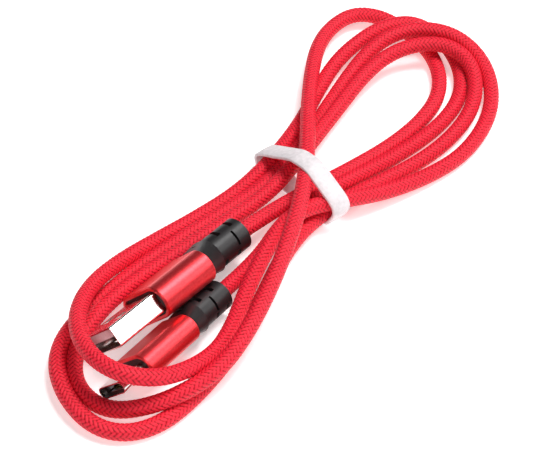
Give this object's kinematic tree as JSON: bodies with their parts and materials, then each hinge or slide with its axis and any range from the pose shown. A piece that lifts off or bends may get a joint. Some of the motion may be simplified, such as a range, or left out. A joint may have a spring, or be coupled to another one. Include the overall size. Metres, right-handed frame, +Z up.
{
  "type": "charging cable",
  "caption": "Braided charging cable with a USB-A plug and a USB-C plug, folded into a long flat hank that a narrow band ties at its waist.",
  "frame": {"origin": "on the table surface, below the middle of the hank's outline", "axes": "+X along the hank away from the plugs, +Y across it, +Z up from the table"},
  "size_m": [0.1383, 0.0628, 0.0143],
  "materials": {
    "cord_braid": "woven, matte",
    "band": "smooth, matte white",
    "plug_shell": "bright nickel",
    "tongue_plastic": "moulded",
    "contact_metal": "gold plated",
    "dark_insert": "moulded",
    "housing_red": "satin red anodised",
    "inner_plastic": "moulded",
    "wire_insulation": "extruded",
    "crimp_brass": "plain",
    "jacket": "extruded",
    "relief_black": "satin black",
    "spring_steel": "stamped",
    "board": "solder mask",
    "resistor_body": "ceramic"
  },
  "bodies": {
    "root": {"cord_hank": "cord_braid", "cord_top_turn": "cord_braid", "cord_lead_usb_a": "cord_braid", "cord_lead_usb_c": "cord_braid", "tie_band": "band", "usb_a_shell": "plug_shell", "usb_a_insulator": "tongue_plastic", "usb_a_contacts": "contact_metal", "usb_a_front_insert": "dark_insert", "usb_a_housing": "housing_red", "usb_a_inner_mold": "inner_plastic", "usb_a_wires": "wire_insulation", "usb_a_crimp": "crimp_brass", "usb_a_inner_jacket": "jacket", "usb_a_strain_relief": "relief_black", "usb_c_shell": "plug_shell", "usb_c_insulator": "dark_insert", "usb_c_contacts": "contact_metal", "usb_c_latch_springs": "spring_steel", "usb_c_ground_springs": "spring_steel", "usb_c_circuit_board": "board", "usb_c_resistor": "resistor_body", "usb_c_front_insert": "dark_insert", "usb_c_housing": "housing_red", "usb_c_inner_mold": "inner_plastic", "usb_c_wires": "wire_insulation", "usb_c_crimp": "crimp_brass", "usb_c_inner_jacket": "jacket", "usb_c_strain_relief": "relief_black"}
  },
  "joints": []
}
